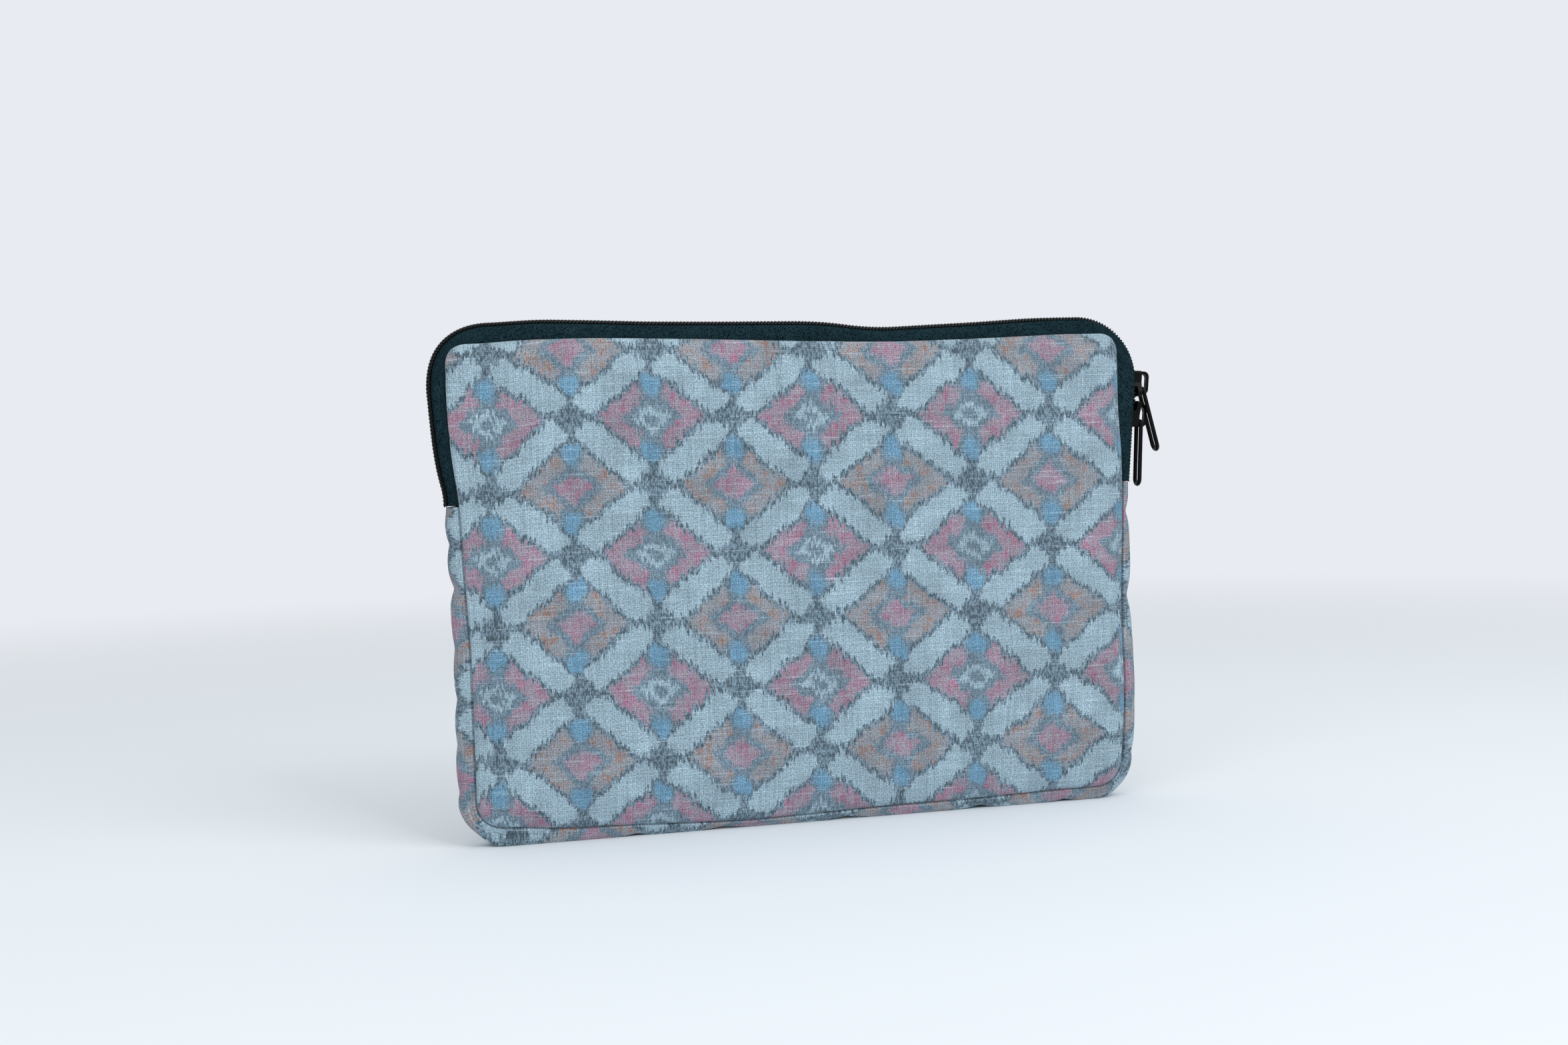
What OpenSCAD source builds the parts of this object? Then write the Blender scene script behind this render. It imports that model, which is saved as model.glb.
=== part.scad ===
/* [Sleeve] */
// Width between the two side seams
seam_w = 332; // [260:1:420]
// Height between the bottom seam and the top seam
seam_h = 230; // [200:1:300]
// Thickness of the padded sleeve at the middle of its panels
sleeve_t = 22; // [20:0.5:30]
// Depth between the front seam and the back seam
seam_gap = 13; // [12.5:0.1:15]
// Seam radius at the two top corners
top_corner_r = 10; // [6:0.5:14]
// Seam radius at the two bottom corners
bottom_corner_r = 15; // [10:0.5:30]
// Width of the rounded edge of a panel
edge_w = 16; // [10:0.5:30]

/* [Layers] */
// Thickness of the woven outer cloth
cloth_t = 0.8; // [0.5:0.1:1.1]
// Thickness of the lining
lining_t = 0.6; // [0.3:0.1:0.8]
// Depth of the pocket between the two linings
pocket_t = 11.2; // [8:0.1:11.5]
// Distance between the layers of the sandwich
layer_gap = 0.1; // [0.05:0.05:0.2]
// Distance of the lining edge from the seam
lining_inset = 2; // [1:0.25:4]
// Width of the binding that covers the raw seam inside
binding_w = 8; // [5:0.5:12]
// Thickness of the binding
binding_t = 0.5; // [0.3:0.1:0.8]
// Distance of the binding from the seam
binding_inset = 1.5; // [1:0.25:4]

/* [Gusset] */
// Bulge of the gusset below the bottom seam
gusset_bottom_h = 5.2; // [4.5:0.1:7]
// Bulge of the gusset low on the sides
gusset_side_h = 7.4; // [5.5:0.1:9]
// Bulge of the gusset where it meets the zipper
gusset_end_h = 6; // [4.5:0.1:6.6]
// Width of the flat that the sleeve stands on
base_w = 11; // [8:0.5:11.4]
// Width of the flat on the sides of the gusset
gusset_side_flat = 4; // [2:0.5:6]
// Thickness of the foam strip in the gusset
gusset_foam_t = 2; // [1:0.1:2.2]
// Width of the foam strip in the gusset
gusset_foam_w = 8; // [4:0.5:8.5]
// Height at which the foam strip ends
gusset_foam_top = 88; // [50:1:100]
// Width of the lining strip in the gusset
gusset_lining_w = 10.8; // [8:0.1:11]

/* [Zipper] */
// Height of the two zip ends
zip_end_z = 160; // [130:1:166]
// Height of the chain above the top seam
chain_rise = 8.4; // [7:0.1:10]
// Distance of the chain from the side seams at its widest
chain_side = 12; // [10:0.1:13]
// Radius of the chain round the top corners
chain_corner_r = 31.5; // [29:0.5:33]
// Angle at which the chain leans on the sides
side_angle = 5; // [3:0.25:6]
// Width of the closed chain
chain_w = 5; // [4.6:0.1:5.2]
// Height of the coil above its tape
coil_h = 1.9; // [1.6:0.1:2.1]
// Length of chain for each tooth
tooth_pitch = 1.7; // [1.5:0.1:3]
// Distance that a tooth reaches past the middle of the chain
tooth_reach = 0.5; // [0.3:0.05:0.6]
// Gap between teeth that mesh
tooth_gap = 0.15; // [0.1:0.01:0.2]
// Thickness of the tape
tape_t = 0.6; // [0.4:0.1:0.7]
// Width of the flat that both tapes make under the sliders
tape_flat_w = 10.6; // [10.4:0.1:11.2]
// Width of the slit between the two tapes
tape_slit = 2.2; // [2:0.1:2.4]

/* [Sliders] */
// Length of a slider
slider_l = 13; // [12:0.25:14]
// Thickness of the outer plate of a slider
plate_t = 2.2; // [1.2:0.1:2.4]
// Thickness of the inner plate of a slider
inner_plate_t = 0.9; // [0.7:0.1:1.3]
// Thickness of the side walls of a slider
slider_wall = 0.8; // [0.6:0.1:0.85]
// Length of the side walls, from the tail of a slider
slider_wall_l = 8; // [7:0.25:9]
// Width of the wedge that parts the teeth
wedge_w = 1.4; // [1.1:0.1:1.4]
// Running clearance of the sliders and the pullers
clearance = 0.3; // [0.25:0.05:0.35]
// Distance between the middles of the two sliders
slider_pitch = 15.4; // [15:0.1:20]
// Length of the bail that holds a puller
bail_l = 11.6; // [10.6:0.1:12]
// Height of the bail
bail_h = 5; // [4.6:0.1:5.4]
// Width of the bail
bail_w = 2.2; // [1.8:0.1:2.4]
// Thickness of the bail's metal
bail_t = 1.5; // [1.1:0.1:1.7]
// Distance of the bail's middle from the slider's, towards the tail
bail_shift = 0.6; // [0.2:0.1:0.7]

/* [Pullers] */
// Length of a puller
puller_l = 34; // [24:0.5:36]
// Width of a puller
puller_w = 7.4; // [7.4:0.1:9]
// Thickness of the puller's wire
puller_wire = 2.1; // [1.6:0.1:2.1]
// Radius of the puller's bends beside the bail
puller_bend_r = 1.4; // [1.2:0.1:1.5]
// Outward angle of the upper puller, which rests over the lower bail
upper_angle = 14; // [13.5:0.5:20]
// Outward angle of the lower puller
lower_angle = -3; // [-3:0.5:0]

/* [Hidden] */
$fn = 48;

cloth_color = "#8ea6b3";
foam_color = "#d9d4c6";
lining_color = "#3b4a50";
binding_color = "#2a3336";
tape_color = "#1e3237";
coil_color = "#15181a";
metal_color = "#0e0f10";

// Steps round a seam corner, down a side and round a corner of the chain, and angles between the
// rings of a rounded edge and the folds of the gusset
corner_steps = 6;
edge_step = 22.5;
gusset_step = 30;
side_steps = 6;
chain_arc_steps = 12;
// Smallest radius that a corner keeps when its outline is inset
least_r = 1;

seam_half = seam_gap / 2;
seam_bottom = gusset_bottom_h;
seam_top = seam_bottom + seam_h;
panel_seam = seam_half + layer_gap;
panel_rise = sleeve_t / 2 - panel_seam;
lining_out = pocket_t / 2 + lining_t;
// Distance of the gusset's lining strip from the seam
strip_gap = 3 * layer_gap;

// Chain: its straight side runs lean inwards below the corner arcs
arc_x = seam_w / 2 + chain_side - chain_corner_r;
arc_z = seam_top + chain_rise - chain_corner_r;
run_x = arc_x + chain_corner_r * cos(side_angle);
run_z = arc_z - chain_corner_r * sin(side_angle);
run_l = (run_z - zip_end_z) / cos(side_angle);
tape_top = coil_h + layer_gap;
tooth_w = tooth_pitch / 2 - tooth_gap;
// Room between the tip of a tooth and the opposite spine
tip_room = 0.2;
tooth_root = tooth_reach + tip_room;

// Slider: the inner plate stays clear of the tape where the tape bends
tape_inner_r = chain_corner_r - tape_top - tape_t;
tape_sag = tape_inner_r - sqrt(pow(tape_inner_r, 2) - pow(slider_l / 2, 2));
plate_in = clearance;
wall_end = tape_top - clearance;
inner_plate_top = tape_top + tape_t + tape_sag + clearance;
// Room between the wedge and the teeth that it parts, and how far each coil then stands aside
wedge_room = 0.4;
part_w = tooth_reach + wedge_w / 2 + wedge_room;
tail_channel = chain_w / 2 + clearance;
mouth_channel = tail_channel + part_w;
// Wedge from its tip to its blunt end, which lies a little inside the mouth
wedge_l = 3.2;
wedge_inset = 0.5;
wedge_taper = 1;
wedge_end = slider_l / 2 - wedge_inset;
wedge_tip = wedge_end - wedge_l;
// The sides of a slider widen between these two heights
flare_from = -0.5;
flare_to = slider_l / 2 - 2.5;
// Cut corners of the plates, and the depth to which parts of a slider are set into each other
plate_chamfer = 0.9;
seat = 0.3;
// Radius of the bail's shoulders, as a part of its height
bail_round = 0.5;
// The coils start to part just below the middle of the upper slider and are apart past the wedge's tip
part_from = 0.2;
part_ramp = wedge_tip + 2;

// Puller pivot inside the end of the bail
pivot_u = bail_l / 2 - bail_t - puller_wire / 2 - clearance;
upper_pivot_u = pivot_u - bail_shift;
lower_pivot_u = pivot_u + bail_shift;
pivot_w = plate_in + plate_t + puller_wire / 2 + clearance;

function smooth(t) = let (c = min(max(t, 0), 1)) c * c * (3 - 2 * c);

// Row of points mirrored left to right, in reverse order
function mirrored(row) = [for (i = [len(row) - 1:-1:0]) [-row[i].x, row[i].y]];

// Points of one corner, counter-clockwise from the angle given
function corner(x, z, r, from) =
  [
    for (i = [0:corner_steps])
      let (a = from + 90 * i / corner_steps)
        [x, z] + r * [cos(a), sin(a)]
  ];

// Seam outline moved inwards by d
function outline(d) =
  let (
    hw = seam_w / 2 - d,
    low = seam_bottom + d,
    high = seam_top - d,
    rt = max(top_corner_r - d, least_r),
    rb = max(bottom_corner_r - d, least_r)
  )
  concat(
    corner(hw - rt, high - rt, rt, 0),
    corner(rt - hw, high - rt, rt, 90),
    corner(rb - hw, low + rb, rb, 180),
    corner(hw - rb, low + rb, rb, 270)
  );

function panel_ring(d, depth) = [for (p = outline(d)) [p.x, -depth, p.y]];

// Ring of a panel's rounded edge, on a surface that lies a distance in from the outer face
function edge_ring(angle, in) =
  panel_ring(edge_w - (edge_w - in) * cos(angle), panel_seam + (panel_rise - in) * sin(angle));

// Closed solid through rings with equal numbers of points. A folded ring is a thin strip that goes
// out along one face and back along the other, so its ends are closed across the strip.
module loft(rings, folded = false) {
  m = len(rings[0]);
  last = (len(rings) - 1) * m;
  sides = [
    for (k = [0:len(rings) - 2], i = [0:m - 1])
      let (a = k * m + i, b = k * m + (i + 1) % m)
        each [[a, b, b + m], [a, b + m, a + m]]
  ];
  end = folded
    ? [for (i = [0:m / 2 - 2]) [i, i + 1, m - 2 - i, m - 1 - i]]
    : [[for (i = [0:m - 1]) i]];
  first_cap = [for (f = end) [for (i = [len(f) - 1:-1:0]) f[i]]];
  last_cap = [for (f = end) [for (i = f) last + i]];
  polyhedron([for (r = rings) each r], concat(first_cap, sides, last_cap));
}

// Seam outline with true corner arcs, moved inwards by d
module outline_shape(d) {
  hw = seam_w / 2 - d;
  low = seam_bottom + d;
  high = seam_top - d;
  rt = max(top_corner_r - d, least_r);
  rb = max(bottom_corner_r - d, least_r);
  translate([-hw, low + rb]) square([2 * hw, high - low - rb - rt]);
  translate([rb - hw, low]) square([2 * (hw - rb), rb]);
  translate([rt - hw, high - rt]) square([2 * (hw - rt), rt]);
  for (side = [-1, 1]) {
    translate([side * (hw - rb), low + rb]) circle(rb);
    translate([side * (hw - rt), high - rt]) circle(rt);
  }
}

// Front sheet of the outline, from one depth to another
module sheet(near, far) {
  translate([0, -near, 0]) rotate([90, 0, 0]) linear_extrude(far - near) children();
}

module panel() {
  outer = [for (a = [90:-edge_step:0]) edge_ring(a, 0)];
  inner = [for (a = [0:edge_step:90]) edge_ring(a, cloth_t)];
  loft(concat(outer, inner));
}

module front_panel() {
  color(cloth_color) panel();
}

module back_panel() {
  color(cloth_color) mirror([0, 1, 0]) panel();
}

module foam() {
  in = cloth_t + layer_gap;
  inset = edge_w - (edge_w - in) * cos(edge_step);
  outer = [for (a = [90:-edge_step:edge_step]) edge_ring(a, in)];
  loft(concat(outer, [panel_ring(inset, lining_out + layer_gap)]));
}

module front_foam() {
  color(foam_color) foam();
}

module back_foam() {
  color(foam_color) mirror([0, 1, 0]) foam();
}

module lining() {
  sheet(pocket_t / 2, lining_out) outline_shape(lining_inset);
}

module front_lining() {
  color(lining_color) lining();
}

module back_lining() {
  color(lining_color) mirror([0, 1, 0]) lining();
}

module binding() {
  far = pocket_t / 2 - layer_gap;
  sheet(far - binding_t, far) difference() {
    outline_shape(binding_inset);
    outline_shape(binding_inset + binding_w);
  }
}

module front_seam_binding() {
  color(binding_color) binding();
}

module back_seam_binding() {
  color(binding_color) mirror([0, 1, 0]) binding();
}

// Bulge of the gusset at a height on the sides
function side_bulge(z) =
  let (low = seam_bottom + bottom_corner_r)
  gusset_end_h + (gusset_side_h - gusset_end_h) * smooth((zip_end_z - z) / (zip_end_z - low));

// Ring across the gusset at a seam point, where the seam faces the angle given
function gusset_ring(x, z, angle, bulge, flat) =
  let (
    in = cloth_t,
    step = gusset_step,
    outer = [for (a = [0:step:90]) [flat + (seam_half - flat) * cos(a), bulge * sin(a)]],
    inner = [for (a = [90:-step:0]) [flat + (seam_half - in - flat) * cos(a), (bulge - in) * sin(a)]],
    row = concat(outer, mirrored(outer), mirrored(inner), inner)
  )
  [for (p = row) [x + p.y * cos(angle), p.x, z + p.y * sin(angle)]];

function gusset_rings(side) =
  let (
    end = zip_end_z - clearance,
    low = seam_bottom + bottom_corner_r,
    hw = seam_w / 2,
    flat = gusset_side_flat / 2,
    run = [
      for (i = [0:side_steps - 1])
        let (z = end + (low - end) * i / side_steps)
          gusset_ring(side * hw, z, side > 0 ? 0 : 180, side_bulge(z), flat)
    ],
    bend = [
      for (i = [0:corner_steps])
        let (
          a = -90 * i / corner_steps,
          t = smooth(i / corner_steps),
          x = hw - bottom_corner_r + bottom_corner_r * cos(a),
          z = low + bottom_corner_r * sin(a),
          bulge = gusset_side_h + (gusset_bottom_h - gusset_side_h) * t
        )
          gusset_ring(side * x, z, side > 0 ? a : 180 - a, bulge, flat + (base_w / 2 - flat) * t)
    ]
  )
  concat(run, bend);

module bottom_gusset() {
  left = gusset_rings(-1);
  right = gusset_rings(1);
  color(cloth_color) loft(concat(left, [for (i = [len(right) - 1:-1:0]) right[i]]), folded = true);
}

// Strip that follows the gusset, between two distances outside the seam
module gusset_strip(near, far, width, top) {
  reach = seam_w / 2 + far;
  sheet(-width / 2, width / 2) intersection() {
    difference() {
      outline_shape(-far);
      outline_shape(-near);
    }
    translate([-reach, seam_bottom - far]) square([2 * reach, top - seam_bottom + far]);
  }
}

module gusset_lining() {
  near = strip_gap;
  color(lining_color) gusset_strip(near, near + lining_t, gusset_lining_w, zip_end_z - clearance);
}

module gusset_foam() {
  near = strip_gap + lining_t + layer_gap;
  color(foam_color) gusset_strip(near, near + gusset_foam_t, gusset_foam_w, gusset_foam_top);
}

// Ring across the front tape: chain point, direction it faces, and seam point
function tape_ring(chain, angle, seam) =
  let (
    n = [cos(angle), sin(angle)],
    out = chain - tape_top * n,
    in = chain - (tape_top + tape_t) * n,
    flat = tape_flat_w / 2,
    row = [
      [out, tape_slit / 2], [out, flat], [seam, seam_half],
      [seam, seam_half - tape_t], [in, flat - tape_t / 2], [in, tape_slit / 2]
    ]
  )
  [for (p = row) [p[0].x, -p[1], p[0].y]];

// Rings of the right half of the front tape, from the zip end to the top
function tape_half() =
  let (
    hw = seam_w / 2,
    run_end = [run_x - run_l * sin(side_angle), zip_end_z]
  )
  concat(
    [tape_ring(run_end, -side_angle, [hw, zip_end_z])],
    [
      for (i = [0:chain_arc_steps])
        let (
          t = i / chain_arc_steps,
          a = -side_angle + (90 + side_angle) * t,
          chain = [arc_x, arc_z] + chain_corner_r * [cos(a), sin(a)],
          seam_arc = [hw - top_corner_r, seam_top - top_corner_r]
        )
          tape_ring(chain, a, seam_arc + top_corner_r * [cos(90 * t), sin(90 * t)])
    ]
  );

module tape() {
  right = tape_half();
  left = [
    for (i = [len(right) - 1:-1:0])
      [for (p = right[i]) [-p.x, p.y, p.z]]
  ];
  loft(concat(right, left), folded = true);
}

module front_zipper_tape() {
  color(tape_color) tape();
}

module back_zipper_tape() {
  color(tape_color) mirror([0, 1, 0]) tape();
}

// Sideways shift of a coil where the sliders hold the chain open
function parting(s) =
  part_w * max(0, min(1, (s - part_from) / part_ramp, (slider_pitch - part_from - s) / part_ramp));

// Comb of teeth along a straight run: front half of the chain, with the teeth towards +Y
function comb(length, phase, parted) =
  let (
    count = floor(length / tooth_pitch),
    pitch = length / count,
    first = phase > 0 ? 0 : 1,
    shift = function (s) parted ? parting(s) : 0,
    teeth = [
      for (k = [first:count - 1])
        let (s = (k + phase) * pitch, y = -shift(s))
          each [
            [s - tooth_w / 2, y - tooth_root], [s - tooth_w / 2, y + tooth_reach],
            [s + tooth_w / 2, y + tooth_reach], [s + tooth_w / 2, y - tooth_root]
          ]
    ],
    near = [part_from, part_from + part_ramp],
    bends = parted ? concat([for (s = near) slider_pitch - s], [near[1], near[0]]) : [],
    back = [for (s = bends) [s, -chain_w / 2 - shift(s)]]
  )
  concat(
    [[0, -chain_w / 2], [0, -tooth_root]],
    teeth,
    [[length, -tooth_root], [length, -chain_w / 2]],
    back
  );

module coil_run(length, phase, parted) {
  translate([0, 0, -coil_h]) linear_extrude(coil_h) polygon(comb(length, phase, parted));
}

// Right corner of a coil: its slightly slimmer spine laps into the straight runs
module coil_corner(phase) {
  turn = 90 + side_angle;
  count = floor(turn * PI / 180 * chain_corner_r / tooth_pitch);
  spine_w = chain_w / 2 - tooth_root;
  slim = 0.02;
  lap = 0.5;
  translate([arc_x, 0, arc_z]) {
    rotate([90, 0, 0]) rotate([0, 0, -side_angle - lap]) rotate_extrude(angle = turn + 2 * lap)
      translate([chain_corner_r - coil_h + slim, tooth_root + slim])
        square([coil_h - 2 * slim, spine_w - 2 * slim]);
    for (k = [0:phase > 0 ? count - 1 : count])
      rotate([0, side_angle - turn * (k + phase) / count, 0])
        translate([chain_corner_r - coil_h, -tooth_root - spine_w / 2, -tooth_w / 2])
          cube([coil_h, tooth_root + spine_w / 2 + tooth_reach, tooth_w]);
  }
}

module coil_side(phase, parted) {
  translate([run_x, 0, run_z]) rotate([0, 90 + side_angle, 0]) coil_run(run_l, phase, parted);
  coil_corner(phase);
}

module coil(phase) {
  translate([-arc_x, 0, seam_top + chain_rise]) coil_run(2 * arc_x, phase, false);
  coil_side(phase, true);
  mirror([1, 0, 0]) coil_side(phase, false);
}

module front_zipper_coil() {
  color(coil_color) coil(0.5);
}

module back_zipper_coil() {
  color(coil_color) mirror([0, 1, 0]) coil(0);
}

// Outline of a slider seen from outside, with its mouth up
function slider_outline(tail, mouth) =
  let (
    l = slider_l / 2,
    cut = plate_chamfer,
    tail_end = [[tail - cut, -l], [tail, cut - l], [tail, flare_from]],
    right = concat(tail_end, [[mouth, flare_to], [mouth, l - cut], [mouth - cut, l]])
  )
  concat(right, mirrored(right));

// Plate in the plane of the chain, between two heights above the coil
module slider_plate(low, high) {
  translate([low, 0, 0]) rotate([90, 0, 90]) linear_extrude(high - low) children();
}

// Side view of the bail: an arch with rounded shoulders
module bail_shape(length, height) {
  r = min(height * bail_round, length / 2 - seat);
  square([height - r, length]);
  translate([0, r]) square([height, length - 2 * r]);
  intersection() {
    square([height, length]);
    union() {
      translate([height - r, r]) circle(r);
      translate([height - r, length - r]) circle(r);
    }
  }
}

module slider() {
  channel_side = [
    [tail_channel, -slider_l], [tail_channel, flare_from],
    [mouth_channel, flare_to], [mouth_channel, slider_l]
  ];
  channel = concat(channel_side, mirrored(channel_side));
  wedge_side = [[wedge_w / 2, wedge_end - wedge_taper], [wedge_w / 3, wedge_end]];
  wedge = concat([[0, wedge_tip]], wedge_side, mirrored(wedge_side));
  outer = slider_outline(tail_channel + slider_wall, mouth_channel + slider_wall);
  top = plate_in + plate_t;
  slider_plate(plate_in, top) polygon(outer);
  slider_plate(-wall_end, plate_in + seat) difference() {
    polygon(outer);
    polygon(channel);
    translate([-slider_l, slider_wall_l - slider_l / 2]) square(2 * slider_l);
  }
  slider_plate(-inner_plate_top - seat, plate_in + seat) polygon(wedge);
  slider_plate(-inner_plate_top - inner_plate_t, -inner_plate_top)
    polygon(slider_outline(tail_channel, mouth_channel - clearance / 2));
  translate([top - seat, bail_w / 2, -bail_l / 2 - bail_shift]) rotate([90, 0, 0]) linear_extrude(bail_w)
    difference() {
      bail_shape(bail_l, bail_h + seat);
      translate([0, bail_t]) bail_shape(bail_l - 2 * bail_t, bail_h + seat - bail_t);
    }
}

// Places its children on the right side run, a distance below the corner
module on_run(s) {
  translate([run_x - s * sin(side_angle), 0, run_z - s * cos(side_angle)])
    rotate([0, side_angle, 0]) children();
}

module upper_slider() {
  color(metal_color) on_run(0) mirror([0, 0, 1]) slider();
}

module lower_slider() {
  color(metal_color) on_run(slider_pitch) slider();
}

// Quarter bend of wire from straight up to straight across
module wire_bend(r) {
  rotate([90, 0, 90]) rotate_extrude(angle = 90) translate([r, 0]) circle(puller_wire / 2);
}

// Long wire loop that hangs from its bar, which lies on the Y axis
module puller() {
  half = (puller_w - puller_wire) / 2;
  bar = half - puller_bend_r;
  drop = puller_l - puller_wire - half;
  rotate([90, 0, 0]) cylinder(d = puller_wire, h = 2 * bar, center = true);
  for (side = [0, 1])
    mirror([0, side, 0]) {
      translate([0, bar, -puller_bend_r]) wire_bend(puller_bend_r);
      translate([0, half, -drop]) cylinder(d = puller_wire, h = drop - puller_bend_r);
      translate([0, 0, -drop]) mirror([0, 0, 1]) wire_bend(half);
    }
}

// Puller on its pivot, leaning outwards from straight down
module hung_puller(s, angle) {
  pivot = [
    run_x - s * sin(side_angle) + pivot_w * cos(side_angle), 0,
    run_z - s * cos(side_angle) - pivot_w * sin(side_angle)
  ];
  translate(pivot) rotate([0, -angle, 0]) puller();
}

module upper_puller() {
  color(metal_color) hung_puller(upper_pivot_u, upper_angle);
}

module lower_puller() {
  color(metal_color) hung_puller(slider_pitch + lower_pivot_u, lower_angle);
}

front_panel();
back_panel();
bottom_gusset();
front_foam();
back_foam();
gusset_foam();
front_lining();
back_lining();
gusset_lining();
front_seam_binding();
back_seam_binding();
front_zipper_tape();
back_zipper_tape();
front_zipper_coil();
back_zipper_coil();
upper_slider();
upper_puller();
lower_slider();
lower_puller();
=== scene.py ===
import bpy
import bmesh
import math
from mathutils import Matrix, Vector, noise


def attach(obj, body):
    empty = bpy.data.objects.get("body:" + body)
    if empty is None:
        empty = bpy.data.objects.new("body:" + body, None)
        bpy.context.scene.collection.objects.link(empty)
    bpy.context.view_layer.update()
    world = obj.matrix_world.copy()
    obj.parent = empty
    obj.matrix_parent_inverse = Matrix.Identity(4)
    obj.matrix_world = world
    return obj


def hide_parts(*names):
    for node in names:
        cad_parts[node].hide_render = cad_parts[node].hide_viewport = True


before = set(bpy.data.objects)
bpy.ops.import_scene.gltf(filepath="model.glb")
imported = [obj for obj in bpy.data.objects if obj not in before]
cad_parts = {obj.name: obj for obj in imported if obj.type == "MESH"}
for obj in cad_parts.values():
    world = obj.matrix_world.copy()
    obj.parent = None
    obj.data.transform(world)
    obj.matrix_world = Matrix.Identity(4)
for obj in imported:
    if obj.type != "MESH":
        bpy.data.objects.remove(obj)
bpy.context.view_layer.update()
scene = bpy.context.scene
mm = 0.001
print("frame loaded:", len(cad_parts), "nodes")

# where the photograph was taken from: angles in degrees, places in mm
cameraView = {
    "lens": 47, "yaw": 15.1, "pitch": 2.5, "roll": -1.71,
    "distance": 988, "target": (-10.2, -6.5, 146.4),
}


def placeCamera(view):
    yaw, pitch, roll = (math.radians(view[k]) for k in ("yaw", "pitch", "roll"))
    level = math.cos(pitch)
    back = Vector((-math.sin(yaw) * level, -math.cos(yaw) * level, math.sin(pitch)))
    data = bpy.data.cameras.new("photo_camera")
    data.lens = view["lens"]
    camera = bpy.data.objects.new("photo_camera", data)
    turn = (-back).to_track_quat("-Z", "Y").to_matrix() @ Matrix.Rotation(roll, 3, "Z")
    spot = (Vector(view["target"]) + back * view["distance"]) * mm
    camera.matrix_world = Matrix.Translation(spot) @ turn.to_4x4()
    scene.collection.objects.link(camera)
    scene.camera = camera


placeCamera(cameraView)
print("camera placed")


def hexColor(code):
    parts = [int(code[i:i + 2], 16) / 255 for i in (1, 3, 5)]
    return [c / 12.92 if c <= 0.04045 else ((c + 0.055) / 1.055) ** 2.4 for c in parts] + [1.0]


def addNode(tree, kind, *values, out=0, **settings):
    # values go to the node's inputs in order: a socket is linked, a number or colour is set
    kind, _, operation = kind.partition(" ")
    node = tree.nodes.new("ShaderNode" + kind)
    if operation:
        node.operation = operation
    for key, value in settings.items():
        setattr(node, key, value)
    for socket, value in zip([s for s in node.inputs if s.enabled], values):
        if isinstance(value, bpy.types.NodeSocket):
            tree.links.new(value, socket)
        elif value is not None:
            socket.default_value = value
    return [s for s in node.outputs if s.enabled][out]


def newMaterial(name, base, roughness):
    material = bpy.data.materials.new(name)
    material.use_nodes = True
    shader = material.node_tree.nodes["Principled BSDF"]
    shader.inputs["Base Color"].default_value = hexColor(base)
    shader.inputs["Roughness"].default_value = roughness
    return material, material.node_tree, shader


# handwoven cotton, its warp dyed in bundles before weaving: matt, with soft thread-by-thread edges
ikat = {
    "repeatX": 79.6, "repeatZ": 64.6,  # mm between like diamonds
    "centreX": 4.0, "centreZ": 197.5,  # mm, middle of one rose diamond
    "skew": 0.017, "spread": 2e-6,  # the rows slope a little, and the cloth is woven wider towards one side
    "thread": 0.65, "weave": 1.05,  # mm, coarser than the real 0.45 and 0.8, so that they show in the picture
    "slip": 2.6, "pairSlip": 2.8, "sway": 6.4,  # mm, how far threads, pairs and whole patches wander
    "knot": (7.6, 5.8), "dot": (4.5, 4.9), "eye": (9.8, 6.6), "pupil": (4.2, 3.0),  # mm, half width and height
    "dotAt": 16.6,  # mm from the middle of a diamond
    # soft edges of the bars and chevrons, as shares of a diamond
    "bar": (0.374, 0.390), "chevronOuter": (0.341, 0.321), "chevronInner": (0.184, 0.206),
    "pale": "#92a9b6", "slate": "#6b8090", "ink": "#31414b", "weft": "#8ea3af", "slub": "#abbcc5",
    "rose": "#91818f", "redThread": "#9b5575", "tan": "#86888f", "rust": "#93654f", "blue": "#5e8caa",
}


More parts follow.
